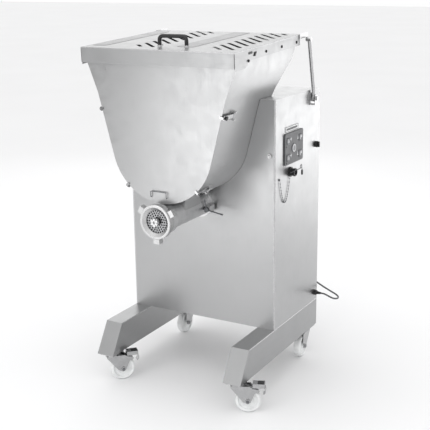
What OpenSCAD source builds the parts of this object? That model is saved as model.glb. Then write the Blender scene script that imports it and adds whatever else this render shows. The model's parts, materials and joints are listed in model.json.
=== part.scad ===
// Floor-standing mixer-grinder: a stainless cabinet on two channel legs with
// four casters, a bell-shaped mixing hopper with a slotted swing-over lid,
// and a size 32 grinding head under the hopper.
// Millimetres, +Z up, the grinding head points along -Y, the floor is at z = 0.

/* [Cabinet] */
// Width of the cabinet over its side panels
body_w = 664; // [620:2:700]
// Depth of the cabinet, front face to rear face
body_d = 425; // [400:5:460]
// Height of the cabinet's lower edge above the floor
body_z0 = 247; // [235:1:260]
// Height of the cabinet's top face
body_z1 = 1172; // [1168:1:1180]
// Sheet thickness of the panels
sheet = 2; // [1.5:0.5:2.5]

/* [Legs and casters] */
// Width of each leg channel
leg_w = 76; // [70:2:90]
// Height of the leg's lower edge above the floor
leg_z0 = 126; // [122:1:132]
// Caster wheel diameter
wheel_d = 100; // [90:2:104]
// Distance from the swivel axis to the wheel axis
caster_trail = 43; // [38:1:48]
// Resting swivel angle of the front right caster
yaw_front_right = 23; // [-180:1:180]
// Resting swivel angle of the front left caster
yaw_front_left = 46; // [-180:1:180]
// Resting swivel angle of the rear right caster
yaw_rear_right = -86; // [-180:1:180]
// Resting swivel angle of the rear left caster
yaw_rear_left = -91; // [-180:1:180]

/* [Hopper] */
// Radius of the trough's round bottom, outside
trough_r = 218; // [210:1:222]
// Height of the mixing shaft's axis
mixer_z = 1018; // [1016:1:1020]
// Forward reach of the trough from the cabinet's front face
trough_y = 280; // [270:1:290]
// Wall thickness of the trough
trough_t = 3; // [2:0.5:4]

/* [Lid] */
// Width of the lid
lid_w = 652; // [650:1:654]
// Length of the lid along its own top
lid_l = 560; // [556:1:564]
// Slope of the lid, lower at the front
lid_tilt = 2.46; // [2.4:0.02:2.5]
// Width of one sight slot
slot_w = 14; // [10:1:18]
// Height of the lid handle
handle_h = 46; // [40:1:55]

/* [Grinding head] */
// Height of the grinding head's axis
head_z = 741; // [740:1:742]
// Diameter of the hole plate
plate_d = 98; // [97:0.5:98.5]
// Diameter of one plate hole
plate_hole_d = 6; // [4:0.5:7]
// Outer diameter of the head's barrel
barrel_d = 100; // [98:1:104]

/* [Hidden] */
$fn = 48;
fine = 96;
eps = 0.5;
// The machine's centre plane and the cabinet's front face, from the origin at
// the middle of the whole object's box.
datum = [-21, -68, 0];
half_w = body_w / 2;
corner_r = 40;
leg_in = half_w - leg_w;
leg_top_y = -219;
leg_toe_y = -294;
pivot_x = half_w - leg_w / 2;
pivot_front_y = -248;
pivot_rear_y = 378;

// Trough section: a round bottom, straight tangent walls and a flared top.
wall_x = 211;
wall_z = 963;
flare_x = 275;
flare_z = 1205;
brim_x = 318;
brim_z = 1315;
rear_slope = 0.54;
rear_foot_z = 982;

lid_y0 = -311;
lid_z0 = 1375;
skirt_h = 57;
band_h = 15;
cheek_l = 114;
row_right = [177, 280, 302];
row_left = [-139, -42, -32];
slot_pitch = 54.4;
slot_y = [71, 540];
slots_in_row = 10;
rim_screws = [252, 383, 516];

arm_x = 343;
arm_pivot = [338, 1137];
arm_top = [280, 1377];
arm_r = 7.5;
bolt_r = 5;
run_gap = 0.06;
floor_t = 4;

barrel_r = barrel_d / 2;
plate_r = plate_d / 2;
nut_r = 67;
nut_mouth_r = 57;
lug_r = 86;
nut_y0 = -339;
nut_y1 = -300;
plate_y = -325;
plate_t = 10;
knife_y = plate_y + plate_t + 0.4;
thread_r = 56;
worm_r = 38.5;
worm_bore_r = 40;
stud_r = 8;
journal_r = 20;

gear_m = 3;
gear_teeth = 60;
pinion_teeth = 20;
gear_y = [40, 64];
gear_r = gear_m * gear_teeth / 2;
pinion_r = gear_m * pinion_teeth / 2;
pinion_z = head_z - gear_r - pinion_r;
gear_shaft_r = 18;
pinion_shaft_r = 12;
mixer_shaft_r = 15;
paddle_r = 205;

panel_y = [77, 245];
panel_z = [905, 1030];
panel_t = 6;
key_size = 26;
key_travel = 2;

cord_r = 3.5;
coil_at = [215, 457, 293];
coil_major = 42;
coil_minor = 13;
plug_top = [165, 452, 200];
// The cord's route from the gland round the corner to the coil on its hook.
cord_route = [
    [364, 396, 282], [376, 396, 282], [389, 396, 279], [402, 398, 273], [414, 402, 267],
    [424, 410, 263], [430, 421, 261], [430, 433, 261], [424, 445, 262], [413, 453, 265],
    [400, 457, 269], [384, 458, 275], [368, 458, 282], [352, 458, 289], [336, 458, 297],
    [320, 458, 305], [304, 458, 313], [288, 458, 322], [272, 458, 331], [256, 458, 338],
    [240, 457, 342], [226, 457, 344]
];
// The cord's tail, hanging from the coil to the plug.
tail_route = [[165, 452, 287], [165, 452, 265], [165, 452, 243], [165, 452, 222], [165, 452, 200]];

// ---- helpers ----

// Moves a part from the machine's own lines to the object's origin.
module at_datum() translate(datum) children();

// Extrudes an outline drawn in (Y, Z) from x0 to x1.
module along_x(x0, x1) translate([x0, 0, 0]) rotate([90, 0, 90]) linear_extrude(x1 - x0) children();

// Extrudes an outline drawn in (X, Z) from y0 to y1.
module along_y(y0, y1) translate([0, y1, 0]) rotate([90, 0, 0]) linear_extrude(y1 - y0) children();

module rod_x(y, z, r, x0, x1) translate([x0, y, z]) rotate([0, 90, 0]) cylinder(r = r, h = x1 - x0);
module rod_y(x, z, r, y0, y1) translate([x, y0, z]) rotate([-90, 0, 0]) cylinder(r = r, h = y1 - y0);

// Turned part about an axis along +Y through (x, z): points are (radius, y).
module turned_y(x, z) translate([x, 0, z]) rotate([-90, 0, 0]) rotate_extrude($fn = fine) children();

module box(x0, x1, y0, y1, z0, z1) translate([x0, y0, z0]) cube([x1 - x0, y1 - y0, z1 - z0]);

module both_sides() {
    children();
    mirror([1, 0, 0]) children();
}

// Section of the trough, grown outwards by g.
module trough_outline(g) {
    translate([0, mixer_z]) circle(r = trough_r + g, $fn = fine);
    polygon([
        [-wall_x - g, wall_z], [wall_x + g, wall_z], [flare_x + g, flare_z],
        [brim_x + g, brim_z], [brim_x + 1 + g, 1460], [-brim_x - 1 - g, 1460],
        [-brim_x - g, brim_z], [-flare_x - g, flare_z]
    ]);
}

// Side view of the trough's length, its rear wall moved forward by t.
module trough_side(t, front) {
    slant = t * sqrt(1 + rear_slope * rear_slope);
    polygon([
        [front, 700], [-t, 700], [-t, rear_foot_z + (slant - t) / rear_slope],
        [rear_slope * (1460 - rear_foot_z) - slant, 1460], [front, 1460]
    ]);
}

// Full block of the trough, used for its shell and for the opening it sits in.
module trough_block(g, t, front) {
    intersection() {
        along_y(front, 300) trough_outline(g);
        along_x(-400, 400) trough_side(t, front);
    }
}

// Places children in the lid's own tilted frame: origin at its front top edge.
module at_lid() translate([0, lid_y0, lid_z0]) rotate([lid_tilt, 0, 0]) children();

// Everything above the lid's underside, lowered by d.
module above_lid(d) at_lid() translate([-500, -100, -d]) cube([1000, 900, 400]);

// ---- frame and legs ----

module leg() {
    wall = 3;
    pad = 6;
    difference() {
        along_x(leg_in, half_w)
            polygon([[leg_top_y, body_z0], [body_d, body_z0], [body_d, leg_z0], [leg_toe_y, leg_z0]]);
        along_x(leg_in + wall, half_w - wall)
            polygon([
                [leg_top_y + wall, body_z0 - wall], [body_d - wall, body_z0 - wall],
                [body_d - wall, leg_z0 - 1], [leg_toe_y + wall + 1, leg_z0 - 1]
            ]);
    }
    for (y = [pivot_front_y, pivot_rear_y]) {
        box(leg_in + wall, half_w - wall, y - 42, y + 42, leg_z0, leg_z0 + pad);
        box(leg_in + 3, half_w - 3, y - 38, y + 38, leg_z0 - 5, leg_z0);
        translate([pivot_x, y, 117.8]) cylinder(r = 20, h = leg_z0 - 5 - 117.8);
        translate([pivot_x, y, 104.2]) cylinder(r = 6, h = leg_z0 - 104.2);
        translate([pivot_x, y, 101]) cylinder(r = 10, h = 3.2);
    }
}

module leg_right() at_datum() color("lightgray") leg();
module leg_left() at_datum() color("lightgray") mirror([1, 0, 0]) leg();

module base_frame() at_datum() color("gray") {
    rail_h = 26;
    rail_w = 30;
    difference() {
        box(-half_w + sheet + eps, half_w - sheet - eps, sheet + eps, body_d - sheet - eps,
            body_z0, body_z0 + floor_t);
        box(-60, 60, 108, 134, body_z0 - 1, body_z0 + floor_t + 1);
    }
    for (y = [140, 300])
        box(-290, 290, y, y + rail_w, body_z0 + floor_t, body_z0 + floor_t + rail_h);
}

// ---- cabinet ----

module cabinet_side(t) {
    r = corner_r - t;
    polygon(concat(
        [[t, body_z0 - (t > 0 ? 1 : 0)], [t, body_z1 - t]],
        [[body_d - corner_r, body_z1 - t]],
        [[body_d - t, body_z1 - corner_r]],
        [[body_d - t, body_z0 - (t > 0 ? 1 : 0)]]
    ));
    translate([body_d - corner_r, body_z1 - corner_r]) circle(r = r, $fn = fine);
}

module cabinet_shell() at_datum() color("silver") {
    difference() {
        along_x(-half_w, half_w) cabinet_side(0);
        along_x(-half_w + sheet, half_w - sheet) cabinet_side(sheet);
        trough_block(1, -1.4, -10);
        rod_y(0, head_z, barrel_r + 0.3, -1, sheet + 1);
        box(-300, 300, body_d - sheet - 1, body_d + 1, 275, 1105);
        rod_x(386, 939, 6.5, half_w - sheet - 1, half_w + 1);
    }
}

module rear_cover() at_datum() color("silver") {
    cover_t = 2;
    hook_r = 5;
    hook_z = coil_at[2] + coil_major - coil_minor - hook_r - 0.4;
    difference() {
        box(-316, 316, body_d, body_d + cover_t, 260, 1120);
        for (z = [760 : 26 : 1050], x = [-150, 150])
            box(x - 45, x + 45, body_d - 1, body_d + cover_t + 1, z, z + 8);
    }
    rod_y(coil_at[0], hook_z, 18, body_d + cover_t, body_d + cover_t + 3);
    rod_y(coil_at[0], hook_z, hook_r, body_d + cover_t + 3, 476);
    translate([coil_at[0], 476, hook_z]) {
        sphere(r = hook_r);
        cylinder(r = hook_r, h = 32);
    }
}

// Quarter-turn knob that holds the rear cover's edge to the right side panel.
module cover_knob() at_datum() color("black") {
    rod_x(386, 939, 6.4, half_w - 14, half_w + 3);
    rod_x(386, 939, 13, half_w + 0.4, half_w + 10);
    box(half_w + 10, half_w + 18, 383, 389, 928, 950);
    box(half_w - 14, half_w - 9, 380, 400, 935, 943);
}

// ---- hopper ----

// Ears on the trough's skin that carry one strap latch. Local +X points out.
module latch_ears() {
    difference() {
        union() {
            box(-1, 3, -222, -196, -17, 17);
            for (s = [-1, 1])
                translate([0, 0, s * 14.5]) box(3, 16, -215, -201, -2.5, 2.5);
        }
        translate([9, -208, -20]) cylinder(r = 3 + run_gap, h = 40);
    }
}

// One strap latch: it lifts outwards about its pin and lets the front panel go.
module latch_strap() {
    translate([9, -208, -17]) cylinder(r = 3, h = 34);
    translate([9, -208, -11.5]) cylinder(r = 5.2, h = 23);
    box(7.5, 10.5, -289, -208, -8, 8);
    box(-7, 10.5, -289, -284.6, -8, 8);
    box(10.5, 15, -278, -262, -8, 8);
}

// Latch places on the trough's skin: [x, z, how far the skin leans under].
wall_lean = atan2(flare_x - wall_x, flare_z - wall_z);
low_lean = 46;
latch_upper = [wall_x + (1144 - wall_z) * tan(wall_lean), 1144, wall_lean];
latch_lower = [trough_r * cos(low_lean), mixer_z - trough_r * sin(low_lean), low_lean];

// Turns children so that their +X points straight out of the skin.
module at_latch(p) translate([p[0], 0, p[1]]) rotate([0, p[2], 0]) children();

module hopper_shell() at_datum() color("gainsboro") {
    difference() {
        trough_block(0, 0, -trough_y);
        trough_block(-trough_t, trough_t, -trough_y - 1);
        above_lid(4);
        box(-41, 41, -191, -91, 770, 830);
        rod_y(0, mixer_z, 17, -10, 60);
    }
    both_sides() {
        at_latch(latch_upper) latch_ears();
        at_latch(latch_lower) latch_ears();
    }
}

module hopper_front_panel() at_datum() color("gainsboro") {
    panel = 4;
    difference() {
        along_y(-trough_y - panel, -trough_y) trough_outline(0);
        above_lid(4);
    }
    turned_y(0, mixer_z) difference() {
        translate([0, -trough_y]) square([31, 20]);
        translate([-1, -trough_y + 4]) square([28, 20]);
    }
}

module hopper_rim() at_datum() color("gainsboro") {
    both_sides() at_lid() {
        difference() {
            box(brim_x + 1.6, 322.4, 44, 548, -42, -3);
            for (y = rim_screws)
                rod_x(y, -27, 3.2, brim_x, 330);
        }
    }
    at_lid() box(-322.4, 322.4, 545, 548, -24, -3);
}

// Button-head screws of the rear cover and of the hopper's rim.
module panel_screws() at_datum() color("black") {
    for (x = [-306, 306], z = [272, 690, 1108]) {
        rod_y(x, z, 6, body_d + 2.1, body_d + 5);
        rod_y(x, z, 3.5, body_d + 5, body_d + 6.5);
    }
    both_sides() at_lid()
        for (y = rim_screws) {
            rod_x(y, -27, 5.5, 322.5, 325.5);
            rod_x(y, -27, 3, brim_x + 2, 322.5);
        }
}

module inlet_neck() at_datum() color("silver") {
    difference() {
        box(-47, 47, -197, -85, 750, 830);
        box(-41, 41, -191, -91, 740, 840);
        rod_y(0, head_z, barrel_r + 0.3, -220, -60, $fn = fine);
        rod_y(0, mixer_z, trough_r + 0.2, -220, -60, $fn = fine);
    }
}

// ---- grinding head ----

module grinder_barrel() at_datum() color("silver") {
    difference() {
        turned_y(0, head_z) polygon([
            [0, 0], [barrel_r, 0], [barrel_r, -258], [58, -264], [58, nut_y1 + 1],
            [thread_r, nut_y1 + 1], [thread_r, plate_y - 0.3], [plate_r + 0.5, plate_y - 0.3],
            [plate_r + 0.5, -290], [worm_bore_r, -290], [worm_bore_r, -20], [0, -20]
        ]);
        rod_y(0, head_z, journal_r + run_gap, -21, 1);
        box(-41, 41, -191, -91, head_z, 830);
    }
}

module head_flange() at_datum() color("silver") {
    difference() {
        rod_y(0, head_z, 58, -10, -0.1);
        rod_y(0, head_z, barrel_r + 0.3, -11, 1);
    }
    difference() {
        union() {
            box(50.8, 70, -44, -10.1, head_z - 26, head_z + 2);
            rod_y(60, head_z - 12, 11, -50, -44);
        }
        rod_y(60, head_z - 12, 5 + run_gap, -51, 0);
        rod_y(0, head_z, barrel_r + 0.3, -60, 1);
    }
}

// Hand screw that clamps the barrel in its flange, with two lever rods.
module clamp_lever() at_datum() color("gray") {
    rod_y(60, head_z - 12, 5, -60, -14);
    rod_y(60, head_z - 12, 9.5, -64, -50.4);
    translate([60, -57, head_z - 12]) rotate([0, 99, 0]) cylinder(r = 3, h = 74);
    translate([60, -57, head_z - 12]) rotate([0, -13, 0]) cylinder(r = 3, h = 42);
}

function ring_holes(n, r) = [for (i = [0 : n - 1]) [r * cos(360 * i / n), r * sin(360 * i / n)]];
plate_holes = concat(ring_holes(8, 16), ring_holes(14, 24.5), ring_holes(20, 33), ring_holes(26, 41.5));

module hole_plate() at_datum() color("silver") {
    difference() {
        rod_y(0, head_z, plate_r, plate_y, plate_y + plate_t, $fn = fine);
        rod_y(0, head_z, stud_r + run_gap, plate_y - 1, plate_y + plate_t + 1);
        for (p = plate_holes)
            rod_y(p[0], head_z + p[1], plate_hole_d / 2, plate_y - 1, plate_y + plate_t + 1, $fn = 16);
    }
}

module ring_nut() at_datum() color("white") {
    lip_y = plate_y - 0.6;
    union() {
        turned_y(0, head_z) polygon([
            [plate_r - 4, lip_y], [plate_r - 4, lip_y - 3], [nut_mouth_r, nut_y0], [nut_r - 2, nut_y0],
            [nut_r, nut_y0 + 2], [nut_r, nut_y0 + 22], [nut_r - 6, nut_y0 + 24], [nut_r - 6, nut_y1],
            [thread_r + run_gap, nut_y1], [thread_r + run_gap, lip_y]
        ]);
        for (a = [30, 150, 270])
            translate([0, 0, head_z]) rotate([0, -a, 0])
                box(nut_r - 6.5, lug_r, nut_y0 + 6, nut_y0 + 32, -13, 13);
    }
}

module cutting_knife() at_datum() color("silver") {
    difference() {
        union() {
            rod_y(0, head_z, 16, knife_y, knife_y + 14);
            for (a = [0 : 90 : 270])
                translate([0, 0, head_z]) rotate([0, a, 0]) box(10, 44, knife_y, knife_y + 10, -7, 5);
        }
        rod_y(0, head_z, stud_r + 0.3, -330, -290);
    }
}

// Section of the worm: a core and one flight, twisted along its length.
module worm_section() {
    flight = 15;
    polygon(concat(
        [for (a = [flight + 5 : 20 : 355 - flight]) 17 * [cos(a), sin(a)]],
        [for (a = [-flight : 15 : flight]) worm_r * [cos(a * 0.7), sin(a * 0.7)]]
    ));
}

module worm_screw() at_datum() color("silver") {
    flight_l = 248;
    turns = 5;
    translate([0, -40, head_z]) rotate([90, 0, 0])
        linear_extrude(flight_l, twist = 360 * turns, slices = 22 * turns) worm_section();
    rod_y(0, head_z, stud_r, -334, -284);
    rod_y(0, head_z, 14, knife_y + 14.2, -285);
    rod_y(0, head_z, journal_r, -43, 6);
    // Castle nut on the stud's end, just in front of the hole plate.
    difference() {
        union() {
            rod_y(0, head_z, 10, plate_y - 12, plate_y - 0.4);
            rod_y(0, head_z, 16, plate_y - 20, plate_y - 8);
        }
        rod_y(0, head_z, 6, plate_y - 21, plate_y - 12);
        for (a = [0 : 60 : 300])
            translate([0, 0, head_z]) rotate([0, a, 0]) box(11, 20, plate_y - 21, plate_y - 14, -3, 3);
    }
}

// ---- drive inside the cabinet ----

// Spur gear outline with straight flanks and some backlash.
function gear_points(n, m) =
    let (rp = n * m / 2, p = 360 / n)
    [for (i = [0 : n - 1], k = [[-0.33, -1.3], [-0.13, 0.9], [0.13, 0.9], [0.33, -1.3]])
        let (a = (i + k[0]) * p, r = rp + k[1] * m) [r * cos(a), r * sin(a)]];

module drive_gear() at_datum() color("dimgray") {
    difference() {
        translate([0, gear_y[1], head_z]) rotate([90, 0, 0])
            linear_extrude(gear_y[1] - gear_y[0]) polygon(gear_points(gear_teeth, gear_m));
        for (a = [0 : 60 : 300])
            rod_y(60 * cos(a), head_z + 60 * sin(a), 15, 30, 80);
    }
    rod_y(0, head_z, gear_shaft_r, 6, 116);
}

module motor_pinion() at_datum() color("dimgray") {
    translate([0, gear_y[1], pinion_z]) rotate([90, 180 / pinion_teeth, 0])
        linear_extrude(gear_y[1] - gear_y[0]) polygon(gear_points(pinion_teeth, gear_m));
    rod_y(0, pinion_z, pinion_shaft_r, 12, 170);
}

module gear_housing() at_datum() color("gray") {
    difference() {
        box(-106, 106, 3, 104, 576, 846);
        box(-98, 98, 34, 84, 584, 838);
        rod_y(0, head_z, 34.2, 2, 110);
        rod_y(0, pinion_z, pinion_shaft_r + 0.1, 2, 110);
    }
    both_sides() box(70, 106, 3, 104, body_z0 + floor_t + 0.2, 576);
}

module shaft_bearings() at_datum() color("gold") {
    for (y = [12, 86])
        difference() {
            rod_y(0, head_z, 34, y, y + 16);
            rod_y(0, head_z, gear_shaft_r + run_gap, y - 1, y + 17);
        }
    difference() {
        rod_y(0, mixer_z, 26.8, -trough_y + 4.2, -trough_y + 20);
        rod_y(0, mixer_z, mixer_shaft_r + run_gap, -trough_y + 4, -trough_y + 21);
    }
    difference() {
        rod_y(0, mixer_z, 28, 36, 55.8);
        rod_y(0, mixer_z, mixer_shaft_r + run_gap, 35, 57);
    }
}

module grinder_motor() at_datum() color("darkslategray") {
    difference() {
        union() {
            rod_y(0, pinion_z, 84, 104.2, 320);
            for (a = [0 : 15 : 345])
                translate([0, 0, pinion_z]) rotate([0, a, 0]) box(80, 90, 140, 300, -2, 2);
        }
        rod_y(0, pinion_z, pinion_shaft_r + 0.1, 100, 180);
    }
    rod_y(0, pinion_z, 88, 320, 366);
    box(-70, 70, 170, 290, 277.2, pinion_z - 70);
    box(86, 150, 180, 260, pinion_z - 30, pinion_z + 40);
}

module mixer_gearmotor() at_datum() color("darkslategray") {
    difference() {
        box(-58, 58, 56, 150, 958, 1078);
        rod_y(0, mixer_z, mixer_shaft_r + 0.1, 50, 122);
    }
    rod_y(0, mixer_z, 54, 150, 310);
    rod_y(0, mixer_z, 58, 310, 340);
    box(-50, 50, 66, 102, 846.2, 958);
}

module mixing_paddle() at_datum() color("silver") {
    tip = 26;
    rod_y(0, mixer_z, mixer_shaft_r, -trough_y + 5, 118);
    for (i = [0 : 3]) {
        y = -240 + 62 * i;
        translate([0, y, mixer_z]) rotate([0, 90 * i + 20, 0]) {
            rod_y(0, 0, 22, -14, 14);
            translate([0, 0, -paddle_r + 16]) cylinder(r = 8, h = 2 * (paddle_r - 16));
            for (s = [-1, 1])
                translate([0, 0, s * (paddle_r - 24)]) rotate([0, 0, 35 * s])
                    translate([-4, -tip, -22]) cube([8, 2 * tip, 44]);
        }
    }
}

// ---- lid ----

// One round-ended slot through the lid between two points.
module slot(a, b) {
    d = b - a;
    len = norm(d);
    translate([a[0], a[1], -5]) rotate([0, 0, atan2(d[1], d[0])]) {
        translate([0, -slot_w / 2, 0]) cube([len, slot_w, 10]);
        cylinder(r = slot_w / 2, h = 10);
        translate([len, 0, 0]) cylinder(r = slot_w / 2, h = 10);
    }
}

// A row of diagonal slots, cut off square at its front and rear ends.
module slot_row(row) {
    for (k = [0 : slots_in_row - 1]) {
        c = row[2] + k * slot_pitch;
        x0 = max(row[0], c - slot_y[1]);
        x1 = min(row[1], c - slot_y[0]);
        slot([x0, c - x0], [x1, c - x1]);
    }
}

module lid_panel() at_datum() color("whitesmoke") at_lid() {
    hw = lid_w / 2;
    difference() {
        box(-hw, hw, 0, lid_l, -sheet, 0);
        slot_row(row_right);
        slot_row(row_left);
    }
    box(-hw, hw, 0, sheet, -skirt_h, -sheet);
    box(-hw, hw, lid_l - sheet, lid_l, -band_h, -sheet);
    both_sides() {
        along_x(hw - sheet, hw) polygon([
            [sheet, -sheet], [cheek_l, -sheet], [cheek_l - 4, -22], [cheek_l - 20, -54],
            [cheek_l - 34, -64], [sheet, -64]
        ]);
        box(hw - sheet, hw, cheek_l, lid_l - sheet, -band_h, -sheet);
    }
}

handle_ends = [[-28, 84], [82, 92]];
module lid_handle() at_datum() color("black") at_lid() {
    a = handle_ends[0];
    d = handle_ends[1] - a;
    r = 7;
    translate([a[0], a[1], 0]) rotate([0, 0, atan2(d[1], d[0])]) {
        for (x = [0, norm(d)]) translate([x, 0, 0.1]) {
            cylinder(r = 10, h = 10);
            cylinder(r = r, h = handle_h - r);
            translate([0, 0, handle_h - r]) sphere(r = r + 0.4);
        }
        translate([0, 0, handle_h - r]) rotate([0, 90, 0]) cylinder(r = r, h = norm(d));
    }
}

module lid_arms() at_datum() color("silver") {
    d = arm_top - arm_pivot;
    both_sides() {
        difference() {
            union() {
                rod_x(arm_pivot[0], arm_pivot[1], 14, arm_x - 5, arm_x + 5);
                translate([arm_x, arm_pivot[0], arm_pivot[1]])
                    rotate([-atan2(d[0], d[1]), 0, 0]) cylinder(r = arm_r, h = norm(d));
            }
            rod_x(arm_pivot[0], arm_pivot[1], bolt_r + run_gap, 300, 400);
        }
        rod_x(arm_top[0], arm_top[1], 9, 331, arm_x + 9);
        at_lid() box(326.1, 331, 530, 606, -16, 2);
    }
}

module arm_brackets() at_datum() color("silver") both_sides() {
    y = arm_pivot[0];
    z = arm_pivot[1];
    box(half_w + 0.1, half_w + 3, y - 20, y + 20, z - 26, z + 22);
    box(arm_x + 8, arm_x + 10, y - 14, y + 14, z - 26, z + 14);
    box(half_w + 3, arm_x + 8, y - 14, y + 14, z - 26, z - 22);
    rod_x(y, z, bolt_r, half_w + 3, arm_x + 10);
    rod_x(y, z, 9, arm_x + 10, arm_x + 16);
}

// ---- small fittings ----

module tray_hook() at_datum() color("silver") {
    wire_r = 2.5;
    half = 34;
    z = 824;
    for (s = [-1, 1]) {
        rod_y(-12 + s * half, z, wire_r, -trough_y - 14, -trough_y - 4.1);
        translate([-12 + s * half, -trough_y - 14, z]) sphere(r = wire_r);
        translate([-12 + s * half, -trough_y - 14, z]) cylinder(r = wire_r, h = 22);
        translate([-12 + s * half, -trough_y - 14, z + 22]) sphere(r = wire_r);
    }
    rod_x(-trough_y - 14, z + 22, wire_r, -12 - half, -12 + half);
}

module front_boss() at_datum() color("dimgray") {
    rod_y(310, 958, 9, -8, -0.1);
    rod_y(310, 958, 5, -12, -8);
}

key_sites = [
    ["start", 155, 965, 0], ["forward", 105, 998, 1], ["reverse", 217, 998, 1],
    ["mix", 105, 933, 1], ["stop", 217, 933, 1]
];

module key_body(k, grow, x0, x1) {
    if (k[3] == 0)
        rod_x(k[1], k[2], 17 + grow, x0, x1);
    else
        box(x0, x1, k[1] - key_size / 2 - grow, k[1] + key_size / 2 + grow,
            k[2] - key_size / 2 - grow, k[2] + key_size / 2 + grow);
}

module control_panel() at_datum() color("darkslategray") {
    difference() {
        box(half_w + 0.1, half_w + panel_t, panel_y[0], panel_y[1], panel_z[0], panel_z[1]);
        for (k = key_sites) key_body(k, 0.4, half_w + 1.5, half_w + panel_t + 5);
    }
}

module panel_key(i) key_body(key_sites[i], 0, half_w + 1.7 + key_travel, half_w + panel_t + 2.6);

module key_start() at_datum() color("lightgray") panel_key(0);
module key_forward() at_datum() color("gray") panel_key(1);
module key_reverse() at_datum() color("gray") panel_key(2);
module key_mix() at_datum() color("gray") panel_key(3);
module key_stop() at_datum() color("gray") panel_key(4);

module rating_plate() at_datum() color("white")
    box(half_w + 0.1, half_w + 1.6, 86, 207, 1034, 1056);

socket_at = [135, 872];
module power_socket() at_datum() color("black") {
    y = socket_at[0];
    z = socket_at[1];
    difference() {
        union() {
            rod_x(y, z, 20, half_w + 0.1, half_w + 6);
            rod_x(y, z, 15, half_w + 6, half_w + 26);
        }
        rod_x(y, z, 11, half_w + 10, half_w + 27);
    }
    rod_x(y, z, 4, half_w + 10, half_w + 22);
    difference() {
        for (s = [-1, 1]) box(half_w + 8, half_w + 16, y + s * 17 - 2.4, y + s * 17 + 2.4, z - 4, z + 4);
        translate([half_w + 12, y - 30, z]) rotate([-90, 0, 0]) cylinder(r = 1.5 + run_gap, h = 60);
        rod_x(y, z, 15, half_w, half_w + 40);
    }
}

// Wire bail that swings over the socket and locks the plug in.
module socket_bail() at_datum() color("silver") {
    reach = 34;
    half = 22;
    r = 1.5;
    translate([half_w + 12, socket_at[0], socket_at[1]]) rotate([0, 60, 0]) {
        for (s = [-1, 1]) {
            translate([0, s * (half - 2.5) - 2.5, 0]) rotate([-90, 0, 0]) cylinder(r = r, h = 5);
            translate([0, s * half, 0]) sphere(r = r + 0.3);
            translate([0, s * half, 0]) cylinder(r = r, h = reach);
            translate([0, s * half, reach]) sphere(r = r + 0.3);
        }
        translate([0, -half, reach]) rotate([-90, 0, 0]) cylinder(r = r, h = 2 * half);
    }
}

chain_from = [36, 859];
chain_to = [126, 848];
chain_sag = 94;
chain_links = 46;
// A parabola's share of the way from one end of the chain to the other.
function chain_at(t) =
    let (y = chain_from[0] + (chain_to[0] - chain_from[0]) * t,
         z = chain_from[1] + (chain_to[1] - chain_from[1]) * t)
    [y, z - 4 * chain_sag * t * (1 - t)];

module cap_chain() at_datum() color("silver") {
    x = half_w + 3.4;
    rod_x(chain_from[0], chain_from[1], 5, half_w + 0.1, half_w + 3);
    for (i = [0 : chain_links]) {
        p = chain_at(i / chain_links);
        translate([x, p[0], p[1]]) sphere(r = 1.9, $fn = 16);
    }
}

module cable_gland() at_datum() color("black") {
    gz = 282;
    translate([half_w + 0.1, 396, gz]) rotate([0, 90, 0]) {
        cylinder(r = 13, h = 8, $fn = 6);
        translate([0, 0, 8]) cylinder(r = 10, h = 4);
        translate([0, 0, 12]) cylinder(r1 = 8, r2 = 4.6, h = 19.9);
    }
}

// ---- cord ----

function unit(v) = v / norm(v);
function tangent(p, i) = unit(p[min(i + 1, len(p) - 1)] - p[max(i - 1, 0)]);
function side(t, ref) = unit(cross(t, ref));

// Tube swept along a list of points, with flat ends.
module swept_tube(p, r, sides, ref) {
    n = len(p);
    rings = [for (i = [0 : n - 1]) let (t = tangent(p, i), u = side(t, ref), v = cross(t, u))
        for (k = [0 : sides - 1]) let (a = 360 * k / sides) p[i] + r * (cos(a) * u + sin(a) * v)];
    walls = [for (i = [0 : n - 2], k = [0 : sides - 1])
        [i * sides + k, (i + 1) * sides + k, (i + 1) * sides + (k + 1) % sides, i * sides + (k + 1) % sides]];
    first = [for (k = [0 : sides - 1]) k];
    last = [for (k = [sides - 1 : -1 : 0]) (n - 1) * sides + k];
    polyhedron(points = rings, faces = concat(walls, [first], [last]), convexity = 6);
}

module power_cord() at_datum() color("dimgray") {
    swept_tube(cord_route, cord_r, 10, [0, 0, 1]);
    swept_tube(tail_route, cord_r, 10, [0, 1, 0]);
}

module cord_coil() at_datum() color("dimgray")
    translate(coil_at) rotate([90, 0, 0]) rotate_extrude($fn = fine) translate([coil_major, 0]) circle(r = coil_minor);

module mains_plug() at_datum() color("black") {
    x = plug_top[0];
    y = plug_top[1];
    z = plug_top[2];
    translate([x, y, z - 20]) cylinder(r1 = 9, r2 = 5, h = 20);
    translate([x, y, z - 58]) cylinder(r = 18, h = 38);
    for (s = [-1, 1]) translate([x + s * 9.5, y, z - 77]) cylinder(r = 2.4, h = 19);
}

module electrical_box() at_datum() color("lightsteelblue") {
    difference() {
        box(190, 318, 90, 300, 880, 1060);
        box(194, 314, 94, 296, 884, 1061);
    }
    box(230, 300, 120, 220, 890, 960);
    box(318, half_w - sheet - 0.1, 120, 220, 900, 940);
}

// ---- casters ----

wheel_z = wheel_d / 2;
axle_r = 6;

module at_caster(x, y, yaw) translate([x, y, 0]) rotate([0, 0, yaw]) children();

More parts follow.
